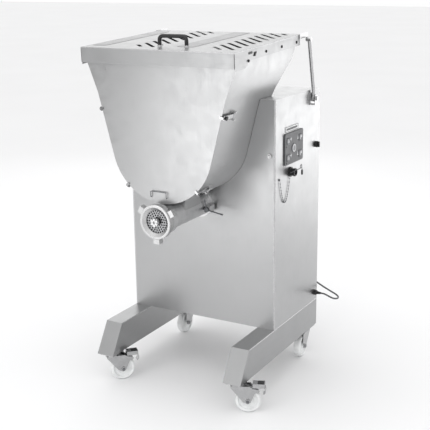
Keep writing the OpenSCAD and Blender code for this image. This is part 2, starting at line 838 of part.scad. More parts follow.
// Fork of one caster: crown, ball race cup, two cheeks and the axle.
module fork(locked) {
    horn = locked ? [[70, 84], [82, 84], [88, 92], [84, 99], [60, 103]] : [[62, 70], [56, 107]];
    outline = concat([[-24, 110], [-24, 104], [26, 44], [43, 37], [54, 44]], horn, [[52, 110]]);
    difference() {
        union() {
            translate([0, 0, 110]) cylinder(r = 26, h = 7.4);
            translate([-24, -21, 106]) cube([76, 42, 4]);
            translate([0, 0, 106]) cylinder(r = 26, h = 4);
            for (s = [-1, 1])
                along_y(s * 19.75 - 1.25, s * 19.75 + 1.25) polygon(outline);
        }
        translate([0, 0, 104.4]) cylinder(r = axle_r + run_gap, h = 14);
        translate([0, 0, 100]) cylinder(r = 10.4, h = 4.5);
        if (locked) rod_y(80, 92, 4 + run_gap, -30, 30);
    }
    rod_y(caster_trail, wheel_z, axle_r, -21, 21);
    for (s = [-1, 1])
        rod_y(caster_trail, wheel_z, 10, s * 23.5 - 2.5, s * 23.5 + 2.5, $fn = 6);
}

module wheel() {
    r = wheel_d / 2;
    turned_y(caster_trail, wheel_z) polygon([
        [axle_r + run_gap, -17.5], [14, -17.5], [15, -11], [36, -9], [39, -14], [44, -15.5],
        [48.5, -12], [r, -6], [r, 6], [48.5, 12], [44, 15.5], [39, 14], [36, 9], [15, 11],
        [14, 17.5], [axle_r + run_gap, 17.5]
    ]);
}

// Foot pedal of the total lock, hinged in the fork's horns.
module pedal() {
    rod_y(80, 92, 4, -21, 21);
    rod_y(80, 92, 5.5, -18, 18);
    box(76, 84, -16, 16, 94, 106);
    difference() {
        box(61, 108, -18, 18, 104, 121);
        box(58, 105, -15, 15, 103, 118);
    }
    difference() {
        rod_y(92, 92, 20, -14, 14);
        rod_y(92, 92, 17, -15, 15);
        box(70, 98, -20, 20, 70, 120);
        box(70, 120, -20, 20, 103.5, 120);
        box(70, 120, -20, 20, 60, 78);
    }
    box(108, 110, -14, 14, 92, 104);
}

module pedal_right() at_datum() color("dimgray") at_caster(pivot_x, pivot_front_y, yaw_front_right) pedal();
module pedal_left() at_datum() color("dimgray") at_caster(-pivot_x, pivot_front_y, yaw_front_left) pedal();

module fork_front_right() at_datum() color("silver") at_caster(pivot_x, pivot_front_y, yaw_front_right) fork(true);
module fork_front_left() at_datum() color("silver") at_caster(-pivot_x, pivot_front_y, yaw_front_left) fork(true);
module fork_rear_right() at_datum() color("silver") at_caster(pivot_x, pivot_rear_y, yaw_rear_right) fork(false);
module fork_rear_left() at_datum() color("silver") at_caster(-pivot_x, pivot_rear_y, yaw_rear_left) fork(false);

module wheel_front_right() at_datum() color("white") at_caster(pivot_x, pivot_front_y, yaw_front_right) wheel();
module wheel_front_left() at_datum() color("white") at_caster(-pivot_x, pivot_front_y, yaw_front_left) wheel();
module wheel_rear_right() at_datum() color("white") at_caster(pivot_x, pivot_rear_y, yaw_rear_right) wheel();
module wheel_rear_left() at_datum() color("white") at_caster(-pivot_x, pivot_rear_y, yaw_rear_left) wheel();

module latch_upper_right() at_datum() color("white") at_latch(latch_upper) latch_strap();
module latch_upper_left() at_datum() color("white") mirror([1, 0, 0]) at_latch(latch_upper) latch_strap();
module latch_lower_right() at_datum() color("white") at_latch(latch_lower) latch_strap();
module latch_lower_left() at_datum() color("white") mirror([1, 0, 0]) at_latch(latch_lower) latch_strap();

base_frame();
leg_left();
leg_right();
cabinet_shell();
rear_cover();
panel_screws();
hopper_shell();
hopper_front_panel();
hopper_rim();
inlet_neck();
grinder_barrel();
head_flange();
hole_plate();
tray_hook();
arm_brackets();
control_panel();
rating_plate();
power_socket();
cap_chain();
front_boss();
cable_gland();
power_cord();
cord_coil();
mains_plug();
electrical_box();
gear_housing();
grinder_motor();
mixer_gearmotor();
shaft_bearings();
lid_panel();
lid_handle();
lid_arms();
worm_screw();
cutting_knife();
drive_gear();
motor_pinion();
mixing_paddle();
ring_nut();
clamp_lever();
latch_upper_right();
latch_upper_left();
latch_lower_right();
latch_lower_left();
socket_bail();
cover_knob();
key_start();
key_forward();
key_reverse();
key_mix();
key_stop();
fork_front_right();
fork_front_left();
fork_rear_right();
fork_rear_left();
wheel_front_right();
wheel_front_left();
wheel_rear_right();
wheel_rear_left();
pedal_right();
pedal_left();
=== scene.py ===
import json
import math

import bmesh
import bpy
from mathutils import Matrix, Vector


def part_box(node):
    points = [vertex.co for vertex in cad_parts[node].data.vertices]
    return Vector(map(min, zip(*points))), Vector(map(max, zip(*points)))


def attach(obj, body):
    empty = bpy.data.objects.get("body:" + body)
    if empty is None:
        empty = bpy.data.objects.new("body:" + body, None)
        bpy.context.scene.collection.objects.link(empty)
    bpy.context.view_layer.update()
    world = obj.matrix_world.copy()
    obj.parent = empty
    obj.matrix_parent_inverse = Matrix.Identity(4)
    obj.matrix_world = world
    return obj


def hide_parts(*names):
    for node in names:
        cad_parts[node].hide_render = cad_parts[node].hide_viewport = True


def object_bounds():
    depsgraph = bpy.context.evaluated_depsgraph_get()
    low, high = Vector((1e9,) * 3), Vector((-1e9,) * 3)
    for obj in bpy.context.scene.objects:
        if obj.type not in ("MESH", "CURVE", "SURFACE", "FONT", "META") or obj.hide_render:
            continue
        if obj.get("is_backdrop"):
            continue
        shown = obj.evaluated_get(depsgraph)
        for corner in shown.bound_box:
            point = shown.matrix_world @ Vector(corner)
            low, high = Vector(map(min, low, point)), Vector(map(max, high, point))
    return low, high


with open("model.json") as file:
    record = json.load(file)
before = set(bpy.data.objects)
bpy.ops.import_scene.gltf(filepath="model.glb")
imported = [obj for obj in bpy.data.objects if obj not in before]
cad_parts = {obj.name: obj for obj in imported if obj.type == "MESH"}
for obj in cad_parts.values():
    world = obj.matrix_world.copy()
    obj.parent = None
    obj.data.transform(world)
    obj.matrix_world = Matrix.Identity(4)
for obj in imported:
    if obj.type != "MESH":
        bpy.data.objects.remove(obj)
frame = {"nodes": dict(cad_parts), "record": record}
NODES = frame["nodes"]
RECORD = frame["record"]
BODY_OF = {n: body for body, members in RECORD["behaviour"]["bodies"].items() for n in members}
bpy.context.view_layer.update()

# ---- the machine's own lines, in millimetres ----

MM = 0.001
shell_low, shell_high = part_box("cabinet_shell")
# The middle of the cabinet's front face, on the floor.
ORIGIN = Vector(((shell_low.x + shell_high.x) / 2, shell_low.y, 0))
MACHINE = Matrix.Translation(ORIGIN) @ Matrix.Scale(MM, 4)
HALF_W = (shell_high.x - shell_low.x) / 2 / MM
BODY_D = (shell_high.y - shell_low.y) / MM
SHELL_TOP = shell_high.z / MM
# The lid's own frame: it starts at the middle of the lid's front top edge and rises to the rear.
LID_TILT = math.radians(2.46)
LID_MM = Matrix.Translation((0, -311, 1375)) @ Matrix.Rotation(LID_TILT, 4, "X")
LID = MACHINE @ LID_MM


def at(x, y, z):
    """A point of the machine, in millimetres, as a place in the row frame."""
    return MACHINE @ Vector((x, y, z))


def add(thing):
    bpy.context.scene.collection.objects.link(thing)
    return thing


# ---- camera ----

CAMERA_AT = (1822.8, -3090.5, 1677.2)
CAMERA_AZIMUTH = math.radians(29.62)
CAMERA_PITCH = math.radians(15.45)
CAMERA_ROLL = math.radians(-0.752)
LENS_MM, SENSOR_MM = 76.9, 36
CLIP_NEAR, CLIP_FAR = 0.1, 60

camera = add(bpy.data.objects.new("camera", bpy.data.cameras.new("camera")))
camera.data.lens = LENS_MM
camera.data.sensor_width = SENSOR_MM
camera.location = at(*CAMERA_AT)
aim = Matrix.Rotation(CAMERA_AZIMUTH, 3, "Z") @ Matrix.Rotation(math.pi / 2 - CAMERA_PITCH, 3, "X")
camera.rotation_mode = "QUATERNION"
camera.rotation_quaternion = (aim @ Matrix.Rotation(CAMERA_ROLL, 3, "Z")).to_quaternion()
camera.data.clip_start = CLIP_NEAR
camera.data.clip_end = CLIP_FAR
bpy.context.scene.camera = camera

# ---- materials ----

# Sockets of a colour mix node, which share their names with those of its other types.
MIX_FIRST, MIX_SECOND, MIX_RESULT = 6, 7, 2


class Paint:
    """One node-based material on the object's own coordinates."""

    def __init__(self, name, metallic=0.0, **sockets):
        self.material = bpy.data.materials.new(name)
        self.material.use_nodes = True
        self.tree = self.material.node_tree
        self.shader = self.tree.nodes["Principled BSDF"]
        self.shader.inputs["Metallic"].default_value = metallic
        for socket, value in sockets.items():
            self.shader.inputs[socket.replace("_", " ")].default_value = value
        self.coord = self.tree.nodes.new("ShaderNodeTexCoord").outputs["Object"]

    def link(self, out, into):
        self.tree.links.new(out, into)

    def noise(self, scale, detail=3.0, roughness=0.5, distortion=0.0):
        """Noise with features of about 1/scale metres; scale is a number or one for each axis."""
        spread = (scale,) * 3 if isinstance(scale, (int, float)) else scale
        mapping = self.tree.nodes.new("ShaderNodeMapping")
        mapping.inputs["Scale"].default_value = spread
        self.link(self.coord, mapping.inputs["Vector"])
        node = self.tree.nodes.new("ShaderNodeTexNoise")
        node.inputs["Scale"].default_value = 1.0
        node.inputs["Detail"].default_value = detail
        node.inputs["Roughness"].default_value = roughness
        node.inputs["Distortion"].default_value = distortion
        self.link(mapping.outputs["Vector"], node.inputs["Vector"])
        return node.outputs["Fac"]

    def span(self, value, low, high, start=0.3, end=0.7):
        """value from start to end becomes low to high."""
        node = self.tree.nodes.new("ShaderNodeMapRange")
        node.inputs["From Min"].default_value = start
        node.inputs["From Max"].default_value = end
        node.inputs["To Min"].default_value = low
        node.inputs["To Max"].default_value = high
        self.link(value, node.inputs["Value"])
        return node.outputs["Result"]

    def math(self, operation, a, b):
        node = self.tree.nodes.new("ShaderNodeMath")
        node.operation = operation
        for value, socket in ((a, node.inputs[0]), (b, node.inputs[1])):
            if isinstance(value, (int, float)):
                socket.default_value = value
            else:
                self.link(value, socket)
        return node.outputs["Value"]

    def mix(self, amount, first, second):
        """Colour from first to second as amount goes from 0 to 1; each is a colour or an output."""
        node = self.tree.nodes.new("ShaderNodeMix")
        node.data_type = "RGBA"
        self.link(amount, node.inputs["Factor"])
        for value, socket in ((first, node.inputs[MIX_FIRST]), (second, node.inputs[MIX_SECOND])):
            if isinstance(value, tuple):
                socket.default_value = (*value, 1.0)
            else:
                self.link(value, socket)
        return node.outputs[MIX_RESULT]

    def color(self, out):
        self.link(out, self.shader.inputs["Base Color"])

    def rough(self, out):
        self.link(out, self.shader.inputs["Roughness"])

    def bump(self, height, depth):
        """Relief of a depth in millimetres."""
        node = self.tree.nodes.new("ShaderNodeBump")
        node.inputs["Strength"].default_value = 1.0
        node.inputs["Distance"].default_value = depth * MM
        self.link(height, node.inputs["Height"])
        self.link(node.outputs["Normal"], self.shader.inputs["Normal"])


def shade(color, factor):
    return tuple(min(1.0, c * factor) for c in color)


# Noise scales by axis for streaks that run along one axis.
GRAIN = {"X": (9, 1500, 1500), "Y": (1500, 9, 1500), "Z": (1500, 1500, 9)}
BRUSH_DEPTH = 0.012


def brushed(name, color, roughness, grain):
    """Brushed stainless sheet: fine streaks along the grain, faint clouds and hand smudges."""
    paint = Paint(name, metallic=1.0)
    streak = paint.noise(GRAIN[grain], detail=4, roughness=0.65)
    cloud = paint.noise(3.2, detail=3)
    smudge = paint.noise(17, detail=5, roughness=0.62, distortion=0.6)
    tone = paint.mix(paint.span(cloud, 0, 1), shade(color, 0.965), shade(color, 1.025))
    tone = paint.mix(paint.span(streak, 0, 0.22), tone, shade(color, 0.86))
    paint.color(tone)
    grain_rough = paint.span(streak, roughness - 0.05, roughness + 0.07)
    paint.rough(paint.math("ADD", grain_rough, paint.span(smudge, -0.035, 0.05)))
    paint.bump(streak, BRUSH_DEPTH)
    return paint.material


def satin(name, color, roughness, speckle=420, relief=0.02, metallic=1.0):
    """Blasted, cast or turned metal: fine even speckle with darker, rougher patches."""
    paint = Paint(name, metallic=metallic)
    fine = paint.noise(speckle, detail=4, roughness=0.6)
    patch = paint.noise(34, detail=4, roughness=0.55)
    tone = paint.mix(paint.span(patch, 0, 1), shade(color, 0.9), shade(color, 1.04))
    tone = paint.mix(paint.span(fine, 0, 0.25), tone, shade(color, 0.72))
    paint.color(tone)
    paint.rough(paint.math("ADD", paint.span(fine, roughness - 0.05, roughness + 0.07),
                           paint.span(patch, -0.03, 0.05)))
    paint.bump(fine, relief)
    return paint.material


def moulded(name, color, roughness, leather=900, relief=0.03, dust=0.5):
    """Moulded plastic or rubber: fine texture, slight tone drift and dull rubbed patches."""
    paint = Paint(name)
    fine = paint.noise(leather, detail=2)
    drift = paint.noise(28, detail=3)
    rubbed = paint.noise(70, detail=5, roughness=0.7)
    tone = paint.mix(paint.span(drift, 0, 1), shade(color, 0.88), shade(color, 1.1))
    worn = tuple(c + (0.5 - c) * 0.12 for c in color)
    paint.color(paint.mix(paint.span(rubbed, 0, dust, 0.52, 0.8), tone, worn))
    paint.rough(paint.math("ADD", paint.span(fine, roughness - 0.05, roughness + 0.05),
                           paint.span(rubbed, -0.03, 0.08)))
    paint.bump(fine, relief)
    return paint.material


def painted(name, color, roughness, orange_peel=260, relief=0.05, chips=0.35):
    """Coat of paint with orange peel and a little grime."""
    paint = Paint(name, Coat_Weight=0.15)
    peel = paint.noise(orange_peel, detail=2)
    grime = paint.noise(22, detail=5, roughness=0.65)
    tone = paint.mix(paint.span(grime, 0, chips, 0.45, 0.8), color, shade(color, 0.55))
    paint.color(tone)
    paint.rough(paint.math("ADD", paint.span(peel, roughness - 0.04, roughness + 0.05),
                           paint.span(grime, -0.04, 0.1)))
    paint.bump(peel, relief)
    return paint.material


# Name, base colour, roughness, and the axis of the grain where the metal is brushed.
SHEET = brushed("sheet_upright", (0.455, 0.457, 0.46), 0.34, "Z")
SHEET_FLAT = brushed("sheet_lid", (0.47, 0.472, 0.475), 0.38, "Y")
SHEET_LEG = brushed("sheet_leg", (0.40, 0.402, 0.405), 0.36, "Y")
# A darker copy of the upright sheet for the facing on the lid's skirt: painted shade.
SHEET_SKIRT_PAINTED_SHADE = brushed("sheet_skirt_painted_shade", (0.40, 0.402, 0.405), 0.38, "X")
# A darker copy of the sheet for the lid's beads: painted reflection.
BEAD_PAINTED_REFLECTION = brushed("sheet_bead_painted_reflection", (0.30, 0.30, 0.305), 0.36, "Y")
SHEET_PALE = brushed("sheet_inner", (0.54, 0.542, 0.545), 0.40, "Z")
# Turned steel also dresses the folds along sheet edges, where its lighter, glossier tone is a painted
# highlight.
BRIGHT = satin("steel_turned_and_painted_highlight", (0.56, 0.56, 0.565), 0.25)
CAST = satin("steel_cast", (0.70, 0.70, 0.705), 0.32, speckle=260, relief=0.05)
RING = satin("ring_nut_steel", (0.58, 0.58, 0.582), 0.28)
PLATE = satin("hole_plate_steel", (0.34, 0.342, 0.35), 0.30)
# Also used for the head's clamp lever rods, where the dark tone is a painted reflection.
DARK_STEEL = satin("gear_steel_and_painted_reflection", (0.20, 0.205, 0.215), 0.38, speckle=600)
FORK = satin("fork_steel", (0.48, 0.482, 0.487), 0.22, speckle=800, relief=0.01)
BEARING = satin("bearing_steel", (0.72, 0.72, 0.70), 0.16, speckle=900, relief=0.004)
CHROME = satin("chrome", (0.70, 0.70, 0.705), 0.12, speckle=900, relief=0.003)
NYLON = moulded("nylon", (0.80, 0.81, 0.81), 0.42, leather=700, relief=0.02, dust=0.35)
BLACK = moulded("black_plastic", (0.012, 0.012, 0.013), 0.36, relief=0.02, dust=0.22)
RUBBER = moulded("cord_rubber", (0.10, 0.10, 0.105), 0.55, relief=0.03, dust=0.4)
PANEL = moulded("panel_membrane", (0.085, 0.087, 0.092), 0.42, leather=1200, relief=0.012, dust=0.2)
KEY = moulded("key_membrane", (0.125, 0.128, 0.135), 0.40, leather=1200, relief=0.012, dust=0.2)
ICON = moulded("icon_print", (0.55, 0.56, 0.57), 0.45, leather=1200, relief=0.004, dust=0.1)
BUTTON = moulded("button_grey", (0.20, 0.205, 0.215), 0.34, dust=0.25)
LABEL = moulded("blank_plate", (0.72, 0.73, 0.73), 0.30, relief=0.006, dust=0.2)
OXIDE = satin("black_oxide", (0.035, 0.035, 0.037), 0.34, speckle=700, metallic=0.6)
MOTOR = painted("motor_paint", (0.085, 0.115, 0.14), 0.42, relief=0.12)
HOUSING = painted("housing_paint", (0.20, 0.21, 0.22), 0.48, orange_peel=180, relief=0.14)
BOX_COAT = painted("box_coat", (0.55, 0.56, 0.57), 0.45, relief=0.04, chips=0.2)

# ---- mesh helpers: everything is drawn in millimetres and placed by a matrix ----

SMOOTH_BELOW = 34  # degrees; steeper edges stay sharp
SMOOTH_ROUND = 60  # the same for wires, bars and turned pieces
WELD = 2e-6  # metres
FLAT = math.radians(0.6)
TOUCH = 1e-5  # metres


def made_of(name, bm, material):
    """A linked object with one material, made from a bmesh."""
    mesh = bpy.data.meshes.new(name)
    bm.to_mesh(mesh)
    bm.free()
    mesh.materials.append(material)
    return add(bpy.data.objects.new(name, mesh))


def finish_piece(name, bm, place, material, body, replaced=(), smooth=SMOOTH_BELOW):
    """Places a bmesh in the row frame and hands it to its body."""
    bm.transform(place)
    bmesh.ops.recalc_face_normals(bm, faces=bm.faces)
    for face in bm.faces:
        face.smooth = True
    for edge in bm.edges:
        if edge.calc_face_angle(math.pi) > math.radians(smooth):
            edge.smooth = False
    piece = made_of(name, bm, material)
    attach(piece, body)
    if replaced:
        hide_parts(*replaced)
    return piece


def round_edges(bm, edges, width, segments=2):
    """Rounds edges; the flat faces beside them keep their own normals."""
    if not edges:
        return
    made = bmesh.ops.bevel(bm, geom=edges, offset=width, offset_type="OFFSET", segments=segments,
                           profile=0.5, affect="EDGES", clamp_overlap=True)
    rounded = set(made["faces"])
    for edge in bm.edges:
        if len({face in rounded for face in edge.link_faces}) == 2:
            edge.smooth = False


def bevel_sharp(bm, width, angle=30):
    """Rounds every edge that turns by more than angle degrees."""
    limit = math.radians(angle)
    sharp = [e for e in bm.edges if len(e.link_faces) == 2 and e.calc_face_angle(0) > limit]
    round_edges(bm, sharp, width)


def node_mesh(node):
    """A CAD node's own mesh with its flat faces joined up."""
    bm = bmesh.new()
    bm.from_mesh(NODES[node].data)
    bmesh.ops.remove_doubles(bm, verts=bm.verts, dist=WELD)
    bmesh.ops.dissolve_limit(bm, angle_limit=FLAT, verts=bm.verts, edges=bm.edges)
    for edge in bm.edges:
        edge.smooth = True
    return bm


def part_of(node, name, bm, place, material, smooth=SMOOTH_BELOW, instead=False):
    """A piece that rides with a CAD node's body; with instead it stands for the node."""
    finish_piece(f"{node}.{name}", bm, place, material, BODY_OF[node],
                 [node] if instead else (), smooth)


def refined(node, material, width):
    """A CAD node's own shape with clean faces and rounded edges, standing for the node."""
    bm = node_mesh(node)
    bevel_sharp(bm, width * MM)
    part_of(node, "body", bm, Matrix.Identity(4), material, instead=True)


FRONT_FOLD = 4.5


def folded_cabinet():
    """The cabinet's shell with its two upright front edges folded to a round, as bent sheet is."""
    bm = node_mesh("cabinet_shell")

    def outer(edge):
        a, b = edge.verts[0].co, edge.verts[1].co
        mid = (a + b) / 2
        on_side = min(abs(mid.x - shell_low.x), abs(mid.x - shell_high.x)) < TOUCH
        return on_side and abs(mid.y - shell_low.y) < TOUCH and abs(a.z - b.z) > 200 * MM

    round_edges(bm, [e for e in bm.edges if outer(e)], FRONT_FOLD * MM, 4)
    bevel_sharp(bm, 0.5 * MM)
    part_of("cabinet_shell", "body", bm, Matrix.Identity(4), SHEET, instead=True)


def angles(count):
    """Even steps round a full turn."""
    return [2 * math.pi * k / count for k in range(count)]


def circle(bm, place, radius, height, steps):
    """Verts round local Z."""
    return [bm.verts.new(place @ Vector((radius * math.cos(a), radius * math.sin(a), height)))
            for a in angles(steps)]


def skin(bm, rings):
    """Faces between loops of equally many verts."""
    for a, b in zip(rings, rings[1:]):
        for k in range(len(a)):
            m = (k + 1) % len(a)
            bm.faces.new((a[k], a[m], b[m], b[k]))


def box(bm, x0, x1, y0, y1, z0, z1):
    base = ((x0, y0), (x1, y0), (x1, y1), (x0, y1))
    verts = [bm.verts.new(Vector((x, y, z))) for z in (z0, z1) for x, y in base]
    for face in ((3, 2, 1, 0), (4, 5, 6, 7), (0, 1, 5, 4), (1, 2, 6, 5), (2, 3, 7, 6), (3, 0, 4, 7)):
        bm.faces.new([verts[i] for i in face])


def prism(bm, outline, h0, h1, axes="XYZ"):
    """Extrudes an outline from h0 to h1 along the third of the named axes."""
    order = ["XYZ".index(a) for a in axes]

    def put(u, v, h):
        p = [0.0, 0.0, 0.0]
        for i, value in zip(order, (u, v, h)):
            p[i] = value
        return bm.verts.new(p)

    low = [put(u, v, h0) for u, v in outline]
    high = [put(u, v, h1) for u, v in outline]
    bm.faces.new(list(reversed(low)))
    bm.faces.new(high)
    skin(bm, (low, high))


# Turns that bring local Z to the named direction.
TO_Z = Matrix.Identity(4)
TO_X = Matrix.Rotation(math.pi / 2, 4, "Y")
TO_MINUS_X = Matrix.Rotation(-math.pi / 2, 4, "Y")
TO_Y = Matrix.Rotation(-math.pi / 2, 4, "X")
TO_MINUS_Y = Matrix.Rotation(math.pi / 2, 4, "X")
TO_MINUS_Z = Matrix.Rotation(math.pi, 4, "X")
MIRROR = Matrix.Scale(-1, 4, (1, 0, 0))


def toward(x, y, z, turn=TO_Z):
    """A place in millimetres whose local Z points where the turn says."""
    return Matrix.Translation((x, y, z)) @ turn


def lathe(bm, profile, place=TO_Z, steps=48):
    """Turns a profile of (radius, height) about local Z; ends off the axis get a flat cap."""
    rings = []
    for radius, height in profile:
        if radius == 0:
            rings.append([bm.verts.new(place @ Vector((0, 0, height)))])
        else:
            rings.append(circle(bm, place, radius, height, steps))
    for a, b in zip(rings, rings[1:]):
        for k in range(steps):
            m = (k + 1) % steps
            face = [a[k % len(a)], a[m % len(a)], b[m % len(b)], b[k % len(b)]]
            unique = list(dict.fromkeys(face))
            if len(unique) > 2:
                bm.faces.new(unique)
    for ring, flip in ((rings[0], True), (rings[-1], False)):
        if len(ring) > 1 and profile[0] != profile[-1]:
            bm.faces.new(list(reversed(ring)) if flip else ring)


def tube(bm, points, radius, sides=12, closed=False):
    """Round bar or wire along a line of points."""
    points = [Vector(p) for p in points]
    count = len(points)
    rings = []
    normal = None
    for i, p in enumerate(points):
        before = points[i - 1] if closed or i else p
        after = points[(i + 1) % count] if closed or i < count - 1 else p
        heading = (after - before).normalized()
        if normal is None:
            normal = heading.orthogonal().normalized()
        normal = (normal - heading * normal.dot(heading)).normalized()
        across = heading.cross(normal)
        rings.append([bm.verts.new(p + radius * (math.cos(a) * normal + math.sin(a) * across))
                      for a in angles(sides)])
    skin(bm, [*rings, rings[0]] if closed else rings)
    if not closed:
        bm.faces.new(list(reversed(rings[0])))
        bm.faces.new(rings[-1])


def bent(corners, radius, steps=8):
    """A path through corners whose inner corners are rounded to a radius."""
    corners = [Vector(c) for c in corners]
    path = [corners[0]]
    for a, b, c in zip(corners, corners[1:], corners[2:]):
        u, v = (a - b).normalized(), (c - b).normalized()
        half = u.angle(v) / 2
        back = radius / math.tan(half)
        start, end = b + u * back, b + v * back
        centre = b + (u + v).normalized() * (radius / math.sin(half))
        for k in range(steps + 1):
            t = k / steps
            spoke = (start - centre).lerp(end - centre, t)
            path.append(centre + spoke.normalized() * radius)
    path.append(corners[-1])
    return path


def ball(bm, centre, radius, sides=12):
    matrix = Matrix.Translation(centre)
    bmesh.ops.create_uvsphere(bm, u_segments=sides, v_segments=sides // 2, radius=radius, matrix=matrix)


def rounded_rect(u0, u1, v0, v1, radius, steps=5):
    """Outline of a rectangle with round corners."""
    outline = []
    for cu, cv, start in ((u1 - radius, v1 - radius, 0), (u0 + radius, v1 - radius, 90),
                          (u0 + radius, v0 + radius, 180), (u1 - radius, v0 + radius, 270)):
        for k in range(steps + 1):
            a = math.radians(start + 90 * k / steps)
            outline.append((cu + radius * math.cos(a), cv + radius * math.sin(a)))
    return outline


def hexagon(radius):
    return [(radius * math.cos(math.pi * k / 3), radius * math.sin(math.pi * k / 3)) for k in range(6)]


def hex_bolt(bm, place, across, height, washer=0.0):
    """Hexagon head with a chamfered top on an optional washer, its axis along local Z."""
    radius = across / math.sqrt(3)
    base = 0.0
    if washer:
        lathe(bm, [(0, 0), (washer, 0), (washer, 1.0), (washer - 0.4, 1.3), (0, 1.3)], place, 32)
        base = 1.2
    top = base + height
    levels = ((base, radius), (top - 0.8, radius), (top, radius * 0.86))
    low, mid, cap = ([bm.verts.new(place @ Vector((x, y, z))) for x, y in hexagon(r)] for z, r in levels)
    skin(bm, (low, mid, cap))
    bm.faces.new(cap)
    bm.faces.new(list(reversed(low)))


def socket_screw(bm, place, radius, height):
    """Button-head screw with a hexagon socket, its axis along local Z."""
    steps = 24
    profile = [(radius, 0), (radius, height * 0.25), (radius * 0.9, height * 0.62),
               (radius * 0.66, height * 0.9)]
    rings = [circle(bm, place, r, z, steps) for r, z in profile]
    skin(bm, rings)
    rim = rings[-1]
    key = hexagon(radius * 0.42)
    lip = [bm.verts.new(place @ Vector((x, y, height))) for x, y in key]
    floor = [bm.verts.new(place @ Vector((x, y, height * 0.3))) for x, y in key]
    share = steps // 6
    for k in range(6):
        m = (k + 1) % 6
        bm.faces.new((lip[k], lip[m], floor[m], floor[k]))
        arc = [rim[(share * k + i) % steps] for i in range(share + 1)]
        bm.faces.new([*arc, lip[m], lip[k]])
    bm.faces.new(floor)
    bm.faces.new(list(reversed(rings[0])))


# ---- the cord, its gland, coil and plug ----

# The cord leaves the gland, passes behind the cover's corner and ends in a coil on the cover's hook.
CORD_R = 3.5
GLAND_AT = (396, 282)  # y and z on the right side
COIL_AT = Vector((215, 457, 293))
COIL_R = 42
COIL_TURNS = 7.25
WIND_R = 9.5
WIND_STEP = math.radians(45)
COIL_STEPS = 28  # points a turn
CORD_ROUTE = [
    (364, 396, 282), (376, 396, 282), (389, 396, 279), (402, 398, 273), (414, 402, 267),
    (424, 410, 263), (430, 421, 261), (430, 433, 261), (424, 445, 262), (413, 453, 265),
    (400, 457, 269), (384, 458, 275), (368, 458, 282), (352, 458, 289), (336, 458, 297),
    (320, 458, 305), (304, 458, 313), (288, 458, 322), (272, 458, 331), (256, 458, 338),
    (240, 457, 342), (226, 457, 344),
]
PLUG_X, PLUG_Y, PLUG_TOP = 165, 452, 200
CORD_TAIL = [(PLUG_X, PLUG_Y, z) for z in (287, 265, 243, 222, PLUG_TOP)]


def coil_point(turns):
    """A point of the winding: once round the coil a turn, and WIND_STEP round the bundle."""
    a = 2 * math.pi * turns
    wind = WIND_STEP * turns
    out = Vector((-math.sin(a), 0, math.cos(a)))
    reach = COIL_R + WIND_R * math.cos(wind)
    return COIL_AT + out * reach + Vector((0, WIND_R * math.sin(wind), 0))


def cord_path():
    """The whole cord: route, winding and tail, as one smooth line in millimetres."""
    steps = round(COIL_TURNS * COIL_STEPS)
    winding = [coil_point(COIL_TURNS * k / steps) for k in range(steps + 1)]
    return [Vector(p) for p in CORD_ROUTE] + winding + [Vector(p) for p in CORD_TAIL]


def smooth_line(points, per_span):
    """Catmull-Rom line through points."""
    ends = [2 * points[0] - points[1], *points, 2 * points[-1] - points[-2]]
    line = []
    for a, b, c, d in zip(ends, ends[1:], ends[2:], ends[3:]):
        for k in range(per_span):
            t = k / per_span
            line.append(0.5 * (2 * b + (c - a) * t + (2 * a - 5 * b + 4 * c - d) * t * t
                               + (3 * b - a - 3 * c + d) * t ** 3))
    return [*line, points[-1]]


cord_line = smooth_line(cord_path(), 2)
bm = bmesh.new()
tube(bm, cord_line, CORD_R, 12)
cord = finish_piece("power_cord.sheath", bm, MACHINE, RUBBER, "machine",
                    ["power_cord", "cord_coil"], smooth=SMOOTH_ROUND)

# Gland: a hexagon, a ribbed cap nut and a stepped bend relief.
bm = bmesh.new()
gland = toward(HALF_W, *GLAND_AT, TO_X)
hex_bolt(bm, gland, 22.4, 7.6)
ribs = [(0, 7), (10.4, 7)]
for k in range(4):
    ribs += [(10.4, 7.6 + 1.1 * k), (9.9, 8.0 + 1.1 * k), (9.9, 8.4 + 1.1 * k), (10.4, 8.7 + 1.1 * k)]
ribs += [(9.0, 13.2), (7.6, 14)]
relief = [(7.2, 14)]
for k in range(5):
    r = 6.9 - 0.5 * k
    z = 15 + 3.4 * k
    relief += [(r, z), (r, z + 1.9), (r - 1.1, z + 2.3), (r - 1.1, z + 3.0)]
lathe(bm, [*ribs, *relief, (4.2, 32), (0, 32)], gland, 32)
gland_piece = finish_piece("cable_gland.fitting", bm, MACHINE, BLACK, "machine",
                           ["cable_gland"])

# Plug, hanging cord end up: bend relief, waisted body with grip ribs, pins and side earth clips.
PLUG_PROFILE = [
    (0, -1), (4.4, -1), (5.2, 1), (5.2, 3), (4.6, 3.4), (4.6, 4.4), (5.8, 5), (5.8, 7), (5.2, 7.4),
    (5.2, 8.4), (6.6, 9), (6.6, 11), (6.0, 11.4), (6.0, 12.4), (8.0, 14), (10.5, 17.5), (13.5, 21),
    (16.5, 26), (17.6, 32), (17.6, 38), (16.6, 39), (16.6, 41), (17.8, 42), (17.8, 56.5), (17.0, 57.6),
    (0, 57.6),
]
bm = bmesh.new()
plug = toward(PLUG_X, PLUG_Y, PLUG_TOP, TO_MINUS_Z)
lathe(bm, PLUG_PROFILE, plug, 48)
for a in angles(12):
    rib = plug @ Matrix.Translation((17.2 * math.cos(a), 17.2 * math.sin(a), 0))
    lathe(bm, [(0, 43.5), (1.3, 44.2), (1.3, 54.3), (0, 55)], rib, 8)
plug_body = finish_piece("mains_plug.body", bm, MACHINE, BLACK, "machine",
                         ["mains_plug"])
bm = bmesh.new()
for side in (-1, 1):
    lathe(bm, [(0, 57), (2.4, 57), (2.4, 75.4), (1.6, 76.8), (0, 77)],
          plug @ Matrix.Translation((9.5 * side, 0, 0)), 20)
    clip_y = PLUG_Y + side * 17.3
    box(bm, PLUG_X - 3, PLUG_X + 3, clip_y - 0.6, clip_y + 0.6, 142.6, 160)
plug_pins = finish_piece("mains_plug.pins", bm, MACHINE, CHROME, "machine")

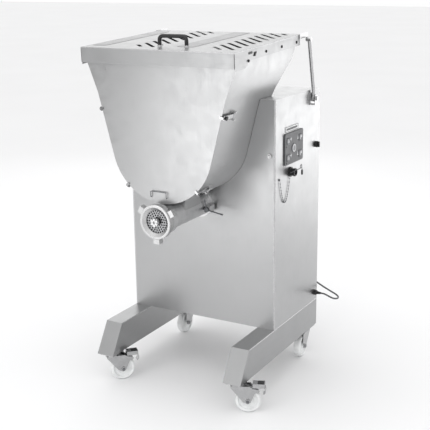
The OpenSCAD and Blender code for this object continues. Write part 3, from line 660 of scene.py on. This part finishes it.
# A tie round the coil.
bm = bmesh.new()
TIE_R = 14.2
bundle = COIL_AT + Vector((0, 0, -COIL_R))
tie = [bundle + TIE_R * Vector((0, math.cos(a), math.sin(a))) for a in angles(24)]
for shift in (-1.6, 0, 1.6):
    tube(bm, [p + Vector((shift, 0, 0)) for p in tie], 1.0, 8, closed=True)
finish_piece("cord_coil.tie", bm, MACHINE, BLACK, "machine")

# ---- sheet metal and machined parts that keep their CAD shape ----

# Node, material, width of the rounded edges.
for node, material, width in (
    ("base_frame", SHEET_PALE, 0.8), ("leg_left", SHEET_LEG, 1.3), ("leg_right", SHEET_LEG, 1.3),
    ("rear_cover", SHEET, 0.7), ("hopper_shell", SHEET_PALE, 0.7),
    ("hopper_front_panel", SHEET, 1.1), ("hopper_rim", SHEET, 0.5), ("inlet_neck", SHEET_PALE, 1.2),
    ("lid_panel", SHEET_FLAT, 0.6), ("lid_arms", BRIGHT, 0.7), ("arm_brackets", BRIGHT, 0.6),
    ("grinder_barrel", CAST, 1.2), ("head_flange", CAST, 1.0), ("ring_nut", RING, 1.3),
    ("hole_plate", PLATE, 0.25), ("cutting_knife", PLATE, 0.5), ("worm_screw", CAST, 0.5),
    ("mixing_paddle", BRIGHT, 1.2), ("front_boss", BRIGHT, 0.8), ("power_socket", BLACK, 0.4),
    ("drive_gear", DARK_STEEL, 0.35), ("motor_pinion", DARK_STEEL, 0.3), ("gear_housing", HOUSING, 3.0),
    ("grinder_motor", MOTOR, 1.6), ("mixer_gearmotor", MOTOR, 2.0), ("shaft_bearings", BEARING, 0.8),
    ("electrical_box", BOX_COAT, 0.9), ("cover_knob", BLACK, 1.2),
    ("fork_front_right", FORK, 0.7), ("fork_front_left", FORK, 0.7),
    ("fork_rear_right", FORK, 0.7), ("fork_rear_left", FORK, 0.7),
    ("key_forward", KEY, 1.2), ("key_reverse", KEY, 1.2), ("key_mix", KEY, 1.2), ("key_stop", KEY, 1.2),
    ("key_start", BUTTON, 1.4), ("pedal_right", FORK, 0.6), ("pedal_left", FORK, 0.6),
):
    refined(node, material, width)

folded_cabinet()

# ---- parts drawn anew ----

# Bright folds: thin bars set into an edge, standing proud of it by 0.4 mm; their lighter, glossier
# turned steel is a painted highlight along the edge.
FOLD_IN, FOLD_R = 1.7, 2.1


def highlight_fold(bm, start, end):
    tube(bm, [start, end], FOLD_R, 16)


# Folds along the legs' upper edges.
LEG_TOP, LEG_TOE_Y, LEG_W = 247, -219, 76
for side, turn in (("right", 1), ("left", -1)):
    bm = bmesh.new()
    for x, y1 in ((HALF_W - FOLD_IN, BODY_D - 2), (HALF_W - LEG_W + FOLD_IN, -1)):
        highlight_fold(bm, (turn * x, LEG_TOE_Y + 2, LEG_TOP - FOLD_IN), (turn * x, y1, LEG_TOP - FOLD_IN))
    part_of("leg_" + side, "folds", bm, MACHINE, BRIGHT, SMOOTH_ROUND)

# The cabinet's two upright front folds, in turned steel: a painted highlight along each edge.
bm = bmesh.new()
for turn in (1, -1):
    x = turn * (HALF_W - FRONT_FOLD)
    tube(bm, [(x, FRONT_FOLD, LEG_TOP + 1), (x, FRONT_FOLD, SHELL_TOP - 1)], FRONT_FOLD + 0.3, 32)
part_of("cabinet_shell", "folds", bm, MACHINE, BRIGHT, SMOOTH_ROUND)

# Lid handle: a bent bar on two turned feet.
HANDLE_FROM, HANDLE_TO = Vector((-28, 84, 0)), Vector((82, 92, 0))
HANDLE_Z, HANDLE_R, HANDLE_BEND = 39, 7.2, 15
span = HANDLE_TO - HANDLE_FROM
handle = LID @ Matrix.Translation(HANDLE_FROM) @ Matrix.Rotation(math.atan2(span.y, span.x), 4, "Z")
bm = bmesh.new()
corners = [(0, 0, 4), (0, 0, HANDLE_Z), (span.length, 0, HANDLE_Z), (span.length, 0, 4)]
tube(bm, bent(corners, HANDLE_BEND), HANDLE_R, 20)
part_of("lid_handle", "bar", bm, handle, BLACK, SMOOTH_ROUND, instead=True)
bm = bmesh.new()
for x in (0, span.length):
    lathe(bm, [(0, 0.1), (9.4, 0.1), (9.4, 1.2), (8.2, 1.8), (8.2, 5.4), (7.6, 6), (0, 6)],
          Matrix.Translation((x, 0, 0)), 32)
part_of("lid_handle", "feet", bm, handle, CHROME)

# Flat beads pressed up in the lid, beside its two rows of slots; their darker steel is a painted
# reflection, the grey bands across the lid.
bm = bmesh.new()
for x0, x1, y0, y1 in ((-314, -250, 55, 510), (33, 108, 97, 549)):
    prism(bm, rounded_rect(x0, x1, y0, y1, 12), 0.05, 0.9)
bevel_sharp(bm, 0.6, 40)
part_of("lid_panel", "beads", bm, LID, BEAD_PAINTED_REFLECTION)

# Marks of the lid's right cheek: a bolt, and a short slot drawn as a thin black plate on the cheek, its
# opening as painted shade.
bm = bmesh.new()
hex_bolt(bm, LID_MM @ toward(326.1, 103, -41, TO_X), 8.6, 3.0, washer=5.6)
part_of("lid_panel", "cheek_bolt", bm, MACHINE, OXIDE)
bm = bmesh.new()
prism(bm, rounded_rect(103, 135, -19.5, -10.5, 4), 326.05, 326.5, "YZX")
part_of("lid_panel", "cheek_slot_painted_shade", bm, LID, BLACK)

# The lid's folds, the seams between its skirt and cheeks, and a thin facing on the skirt; the facing is
# a darker copy of the sheet, painted shade on the skirt.
LID_HALF, LID_BACK, SKIRT_H = 326, 558, 57
# The lid's folds in turned steel: a painted highlight along its edges.
bm = bmesh.new()
highlight_fold(bm, (-LID_HALF + 2, FOLD_IN, -FOLD_IN), (LID_HALF - 2, FOLD_IN, -FOLD_IN))
for turn in (1, -1):
    x = turn * (LID_HALF - FOLD_IN)
    highlight_fold(bm, (x, 2, -FOLD_IN), (x, LID_BACK, -FOLD_IN))
part_of("lid_panel", "folds", bm, LID, BRIGHT, SMOOTH_ROUND)
bm = bmesh.new()
for turn in (1, -1):
    x = turn * (LID_HALF - 0.6)
    tube(bm, [(x, 0.6, -4), (x, 0.6, 1 - SKIRT_H)], 1.1, 12)
part_of("lid_panel", "seams", bm, LID, OXIDE, SMOOTH_ROUND)
bm = bmesh.new()
box(bm, 2 - LID_HALF, LID_HALF - 2, -0.4, 0.4, 1 - SKIRT_H, -4)
part_of("lid_panel", "skirt", bm, LID, SHEET_SKIRT_PAINTED_SHADE)

# Stop wedge on the hopper's right rim.
bm = bmesh.new()
prism(bm, [(152, -31), (161, -31), (171, -16.5), (161, -16.5)], 322.6, 325.6, "YZX")
bevel_sharp(bm, 0.5)
part_of("hopper_rim", "stop_wedge", bm, LID, BLACK)

# Latches: strap with a rolled eye and a turned-in hook, hinge pin, black pull knob.
LATCHES = (("upper", 258.87, 1144, 14.8), ("lower", 151.4, 861.2, 46))  # level, x, z, lean in degrees
STRAP = [(7.5, -208), (7.5, -280), (10.5, -280), (10.5, -208)]
HOOK = [(-7, -284.6), (-7, -288.6), (8.8, -288.6), (10.5, -286.8), (10.5, -279.5), (7.5, -279.5),
        (7.5, -284.6)]
PIN = [(0, -17), (2.6, -17), (3, -16.5), (3, 16.5), (2.6, 17), (0, 17)]
KNOB = [(0, 10.4), (4, 10.4), (4, 11.4), (7.4, 12.2), (8.2, 13.6), (8.2, 15), (7.2, 16.4), (0, 17)]
for level, x, z, lean in LATCHES:
    spot = Matrix.Translation((x, 0, z)) @ Matrix.Rotation(math.radians(lean), 4, "Y")
    for side, flip in (("right", TO_Z), ("left", MIRROR)):
        node = f"latch_{level}_{side}"
        bm = bmesh.new()
        prism(bm, STRAP, -8, 8)
        prism(bm, HOOK, -4, 4)
        bevel_sharp(bm, 0.6)
        lathe(bm, [(0, -11.5), (5.2, -11.5), (5.2, 11.5), (0, 11.5)], toward(9, -208, 0), 28)
        lathe(bm, PIN, toward(9, -208, 0), 20)
        bm.transform(flip @ spot)
        part_of(node, "strap", bm, MACHINE, FORK, instead=True)
        bm = bmesh.new()
        lathe(bm, KNOB, toward(0, -270, 0, TO_X), 28)
        bm.transform(flip @ spot)
        part_of(node, "knob", bm, MACHINE, BLACK)

# Screws of the rear cover and of the hopper's rim.
bm = bmesh.new()
for x in (-306, 306):
    for z in (272, 690, 1108):
        socket_screw(bm, toward(x, 427.1, z, TO_Y), 6, 4.2)
for y in (252, 383, 516):
    socket_screw(bm, LID_MM @ toward(322.6, y, -27, TO_X), 5.5, 3)
    socket_screw(bm, LID_MM @ toward(-322.6, y, -27, TO_MINUS_X), 5.5, 3)
part_of("panel_screws", "heads", bm, MACHINE, OXIDE, instead=True)

# Hoods over the air slots of the rear cover: a curved sheet and two cheeks for each slot.
HOOD = [(427.05, 10.4), (429.2, 9.8), (431.4, 6.6), (432.6, 2.0), (432.8, -0.6), (431.9, -0.6),
        (431.6, 2.0), (430.5, 6.0), (428.6, 8.8), (427.05, 9.4)]
HOOD_CHEEK = [(427.05, 9.6), (432.4, 1.8), (432.6, -0.4), (427.05, -0.4)]
SLOT_ROWS, SLOT_Z, SLOT_STEP, SLOT_HALF = 12, 760, 26, 46
bm = bmesh.new()
for x in (-150, 150):
    for row in range(SLOT_ROWS):
        z = SLOT_Z + SLOT_STEP * row
        prism(bm, [(y, z + dz) for y, dz in HOOD], x - SLOT_HALF, x + SLOT_HALF, "YZX")
        for end in (x - SLOT_HALF, x + SLOT_HALF - 0.9):
            prism(bm, [(y, z + dz) for y, dz in HOOD_CHEEK], end, end + 0.9, "YZX")
part_of("rear_cover", "louvers", bm, MACHINE, SHEET)

# Wire hook on the hopper's front panel.
LOOP_X, LOOP_HALF, LOOP_Y, LOOP_Z, LOOP_RISE, PANEL_Y = -12, 34, -291, 824, 22, -284.2
bm = bmesh.new()
half_loop = [(-1, PANEL_Y, LOOP_Z), (-1, LOOP_Y, LOOP_Z), (-1, LOOP_Y, LOOP_Z + LOOP_RISE)]
corners = half_loop + [(-turn, y, z) for turn, y, z in reversed(half_loop)]
tube(bm, bent([(LOOP_X + turn * LOOP_HALF, y, z) for turn, y, z in corners], 2.4, 5), 1.5, 12)
part_of("tray_hook", "wire", bm, MACHINE, DARK_STEEL, SMOOTH_ROUND, instead=True)

# Control panel: rounded corners, printed signs, two lamps.
bm = node_mesh("control_panel")
low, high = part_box("control_panel")


def is_corner(edge):
    mid = (edge.verts[0].co + edge.verts[1].co) / 2
    return all(min(abs(mid[k] - low[k]), abs(mid[k] - high[k])) < TOUCH for k in (1, 2))


round_edges(bm, [e for e in bm.edges if is_corner(e)], 7 * MM, 6)
bevel_sharp(bm, 0.7 * MM, 40)
part_of("control_panel", "body", bm, Matrix.Identity(4), PANEL, instead=True)

# Outer faces of the panel and of its keys, and the start and end of a print on them.
FACE_X, KEY_X = 338.0, 340.6
PRINT = (0.02, 0.22)


def star(y, z, size):
    """A four-pointed sign."""
    reaches = [size, size * 0.42] * 4
    return [(y + reach * math.cos(math.pi * k / 4), z + reach * math.sin(math.pi * k / 4))
            for k, reach in enumerate(reaches)]


def triangle(y, z, size):
    return [(y - size * 0.62, z - size), (y + size * 0.62, z - size), (y, z + size)]


def bar(y, z, half_y, half_z):
    return [(y - half_y, z - half_z), (y + half_y, z - half_z), (y + half_y, z + half_z),
            (y - half_y, z + half_z)]


def printed(bm, outlines, face_x):
    """Flat signs on a face that looks to the right."""
    for outline in outlines:
        prism(bm, outline, face_x + PRINT[0], face_x + PRINT[1], "YZX")


KEY_SIGNS = {"key_forward": [bar(96.5, 1001, 2.6, 7.5), triangle(107, 1001, 7)],
             "key_mix": [bar(96.5, 934, 2.6, 7.5), triangle(107, 934, 7)],
             "key_reverse": [bar(212, 998, 2.6, 7), bar(223, 1001, 5, 5)],
             "key_stop": [bar(212, 933, 2.6, 7), bar(223, 936, 5, 5)]}
for node, signs in KEY_SIGNS.items():
    bm = bmesh.new()
    printed(bm, signs, KEY_X)
    part_of(node, "sign", bm, MACHINE, ICON)
bm = bmesh.new()
ring = [(10.5, 0.02), (10.5, 0.5), (11.2, 0.8), (15.2, 0.8), (15.8, 0.5), (15.8, 0.02), (10.5, 0.02)]
lathe(bm, ring, toward(KEY_X, 155, 965, TO_X), 48)
part_of("key_start", "ring", bm, MACHINE, ICON)
bm = bmesh.new()
face_signs = (star(130, 1004, 9), star(131, 939, 9), triangle(194, 1003, 9), triangle(194, 938, 9))
printed(bm, face_signs, FACE_X)
part_of("control_panel", "signs", bm, MACHINE, ICON)
bm = bmesh.new()
for z in (978, 913):
    lathe(bm, [(0, 0.02), (3, 0.02), (3, 0.6), (2.2, 1.3), (0, 1.6)], toward(FACE_X, 90, z, TO_X), 20)
part_of("control_panel", "lamps", bm, MACHINE, BLACK)

# Blank plate with a line round it and a plain dark field.
refined("rating_plate", LABEL, 0.3)
PLATE_X = 333.6
FRAME_LINES = ((87, 206, 1053.2, 1055), (87, 206, 1035, 1036.8), (87, 89.2, 1036.8, 1053.2),
               (203.8, 206, 1036.8, 1053.2))
FIELD = (96, 197, 1040.5, 1049)
bm = bmesh.new()
for y0, y1, z0, z1 in (*FRAME_LINES, FIELD):
    box(bm, PLATE_X + 0.02, PLATE_X + 0.2, y0, y1, z0, z1)
part_of("rating_plate", "lines", bm, MACHINE, PANEL)

# Socket: a grip ring round its mouth.
SOCKET = Vector((HALF_W, 135, 872))
bm = bmesh.new()
grip = [(15.05, 17.5), (16.2, 18.2), (16.2, 24.6), (15.05, 25.3), (15.05, 17.5)]
lathe(bm, grip, Matrix.Translation(SOCKET) @ TO_X, 40)
part_of("power_socket", "grip", bm, MACHINE, BLACK)

# Cap chain: a stud and a bead chain that hangs as a parabola; its ends are in y and z.
CHAIN_FROM, CHAIN_TO, CHAIN_SAG = (36, 859), (126, 848), 94
CHAIN_X, CHAIN_BEADS, BEAD_R = 335.4, 46, 2.3
beads = []
for k in range(CHAIN_BEADS + 1):
    t = k / CHAIN_BEADS
    y = CHAIN_FROM[0] + (CHAIN_TO[0] - CHAIN_FROM[0]) * t
    z = CHAIN_FROM[1] + (CHAIN_TO[1] - CHAIN_FROM[1]) * t - 4 * CHAIN_SAG * t * (1 - t)
    beads.append(Vector((CHAIN_X, y, z)))
bm = bmesh.new()
tube(bm, beads, 0.7, 6)
for k, bead in enumerate(beads):
    if k % 2 == 0:
        ball(bm, bead, BEAD_R, 10)
lathe(bm, [(0, 0.1), (5, 0.1), (5, 1.6), (4.2, 2.8), (0, 3.2)], toward(HALF_W, *CHAIN_FROM, TO_X), 24)
part_of("cap_chain", "links", bm, MACHINE, DARK_STEEL, SMOOTH_ROUND, instead=True)

# Bail of the socket with a ring and a small tag on it.
bail = Matrix.Translation(SOCKET + Vector((12, 0, 0))) @ Matrix.Rotation(math.radians(60), 4, "Y")
bm = bmesh.new()
wire = bent([(0, -17, 0), (0, -22, 0), (0, -22, 34), (0, 22, 34), (0, 22, 0), (0, 17, 0)], 2.6, 5)
tube(bm, wire, 1.5, 12)
bm.transform(bail)
part_of("socket_bail", "wire", bm, MACHINE, DARK_STEEL, SMOOTH_ROUND, instead=True)
ring_at = bail @ Vector((0, 14, 34))
bm = bmesh.new()
loop = [ring_at + Vector((0, 7 * math.cos(a), 6 + 7.4 * math.sin(a))) for a in angles(24)]
tube(bm, loop, 1.3, 8, closed=True)
tube(bm, [ring_at + Vector(step) for step in ((0, 6, 2), (0, 9, -3), (0, 9.5, -9))], 1.2, 8)
part_of("socket_bail", "ring", bm, MACHINE, BLACK, SMOOTH_ROUND)
bm = bmesh.new()
lathe(bm, [(0, 0), (2.4, -0.6), (3.6, -3), (4, -12), (4, -18), (3, -21), (0, -22)],
      Matrix.Translation(ring_at + Vector((0, 9.5, -8))), 20)
part_of("socket_bail", "tag", bm, MACHINE, BLACK, SMOOTH_ROUND)

# Clamp screw of the head with its two lever rods, in dark steel: the rods' dark look is a painted
# reflection.
CLAMP = Vector((60, 0, 729))
bm = bmesh.new()
spindle = [(0, -64), (8.3, -64), (9.5, -62.8), (9.5, -51.6), (8.3, -50.4), (5, -50.4), (5, -14),
           (0, -14)]
lathe(bm, spindle, Matrix.Translation(CLAMP) @ TO_Y, 32)
hub = CLAMP + Vector((0, -57, 0))
for turn, length in ((math.radians(99), 74), (math.radians(-13), 42)):
    heading = Vector((math.sin(turn), 0, math.cos(turn)))
    tube(bm, [hub, hub + heading * (length - 2)], 2.6, 16)
    tip = [(2.6, length - 12), (3.3, length - 10.5), (3.3, length - 1.2), (2.4, length), (0, length)]
    lathe(bm, tip, Matrix.Translation(hub) @ Matrix.Rotation(turn, 4, "Y"), 20)
part_of("clamp_lever", "screw", bm, MACHINE, DARK_STEEL, instead=True)

# Casters: ringed nylon wheels, axle nuts, plate bolts and a pad on each foot pedal.
# Half of the wheel's section, from bore to tread, in radius and distance from its middle.
TREAD = [(6.06, 17.5), (11.4, 17.5), (12.2, 17.9), (13.4, 17.3), (14.6, 11.6), (16, 10.3), (22, 9.9),
         (23, 10.8), (25.5, 10.8), (26.5, 9.7), (33.5, 9.2), (35.2, 9.5), (36.4, 10.8), (38, 13.9),
         (39.4, 14.9), (43.6, 15.4), (46.4, 14.0), (48.4, 11.8), (49.6, 8.6), (50, 5.0)]
# Swivel axis and yaw in degrees.
SITES = {"front_right": (294, -248, 23), "front_left": (-294, -248, 46),
         "rear_right": (294, 378, -86), "rear_left": (-294, 378, -91)}
TRAIL, AXLE_Z, FORK_HALF, CASTER_TOP = 43, 50, 22.6, 121
BOLT_DX, BOLT_DY = 27, 30
for site, (x, y, yaw) in SITES.items():
    spot = MACHINE @ Matrix.Translation((x, y, 0)) @ Matrix.Rotation(math.radians(yaw), 4, "Z")
    bm = bmesh.new()
    rim = [(r, -w) for r, w in TREAD] + [(r, w) for r, w in reversed(TREAD)]
    lathe(bm, [*rim, rim[0]], toward(TRAIL, 0, AXLE_Z, TO_Y), 72)
    part_of("wheel_" + site, "tyre", bm, spot, NYLON, 26, instead=True)
    bm = bmesh.new()
    hex_bolt(bm, toward(TRAIL, FORK_HALF, AXLE_Z, TO_Y), 13, 4.4)
    hex_bolt(bm, toward(TRAIL, -FORK_HALF, AXLE_Z, TO_MINUS_Y), 13, 4.4)
    part_of("fork_" + site, "nuts", bm, spot, DARK_STEEL)
    bm = bmesh.new()
    for dx in (-BOLT_DX, BOLT_DX):
        for dy in (-BOLT_DY, BOLT_DY):
            hex_bolt(bm, toward(x + dx, y + dy, CASTER_TOP, TO_MINUS_Z), 10, 3.4)
    side = "right" if x > 0 else "left"
    part_of("leg_" + side, site + "_bolts", bm, MACHINE, BRIGHT)
    if site.startswith("front"):
        bm = bmesh.new()
        prism(bm, rounded_rect(80, 105, -13, 13, 2.5), 120.9, 122.3)
        for k in range(4):
            box(bm, 83.5 + 5.4 * k, 86 + 5.4 * k, -10.5, 10.5, 122.2, 122.9)
        part_of("pedal_" + side, "pad", bm, spot, BLACK)

# ---- floor, lights, world; all in metres ----

paint = Paint("studio_floor")
paint.color(paint.mix(paint.span(paint.noise(0.8), 0, 1), (0.88, 0.88, 0.885), (0.90, 0.90, 0.905)))
paint.rough(paint.span(paint.noise(30), 0.78, 0.86))
bm = bmesh.new()
bmesh.ops.create_grid(bm, x_segments=2, y_segments=2, size=30)
floor = made_of("floor", bm, paint.material)
floor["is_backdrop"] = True


def softbox(name, place, aim_at, width, height, power):
    """Large soft light that the camera doesn't see."""
    data = bpy.data.lights.new(name, "AREA")
    data.shape = "RECTANGLE"
    data.size = width
    data.size_y = height
    data.energy = power
    light = add(bpy.data.objects.new(name, data))
    light.location = place
    light.rotation_mode = "QUATERNION"
    light.rotation_quaternion = (Vector(place) - Vector(aim_at)).to_track_quat("Z", "Y")
    light.visible_camera = False


MIDDLE = (0, 0, 0.75)
softbox("light_right_rear", (1.75, 3.2, 0.8), (0.3, 0.2, 1.0), 1.5, 1.2, 7.4)
softbox("light_left_rear", (-2.2, 3.8, 2.0), (0, 0, 1.3), 2.6, 1.6, 11)
softbox("light_low_right", (1.25, 2.5, 0.1), (0.3, -0.1, 1.2), 1.3, 1.3, 4)
softbox("light_front_left", (-1.1, -3.0, 0.62), (0.1, -0.2, 1.1), 1.0, 1.3, 9.3)
softbox("light_front", (0.2, -4.4, 3.2), MIDDLE, 2.8, 2.2, 10)
softbox("light_top", (-0.4, -0.8, 4.2), MIDDLE, 2.8, 2.8, 30)

# A dark card at the front left, which only the steel sees.
paint = Paint("card_cloth")
paint.color(paint.mix(paint.span(paint.noise(60), 0, 1), (0.02, 0.02, 0.02), (0.03, 0.03, 0.03)))
paint.rough(paint.span(paint.noise(200), 0.85, 0.95))
bm = bmesh.new()
box(bm, -3.3, -2.15, -3.3, -3.28, 0.05, 1.9)
card = made_of("card", bm, paint.material)
card.visible_camera = False
card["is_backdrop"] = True

world = bpy.data.worlds.new("studio")
bpy.context.scene.world = world
world.use_nodes = True
backdrop = world.node_tree.nodes["Background"]
backdrop.inputs["Color"].default_value = (1, 1, 1, 1)
backdrop.inputs["Strength"].default_value = 1.0
bpy.context.scene.view_settings.view_transform = "Standard"

low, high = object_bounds()
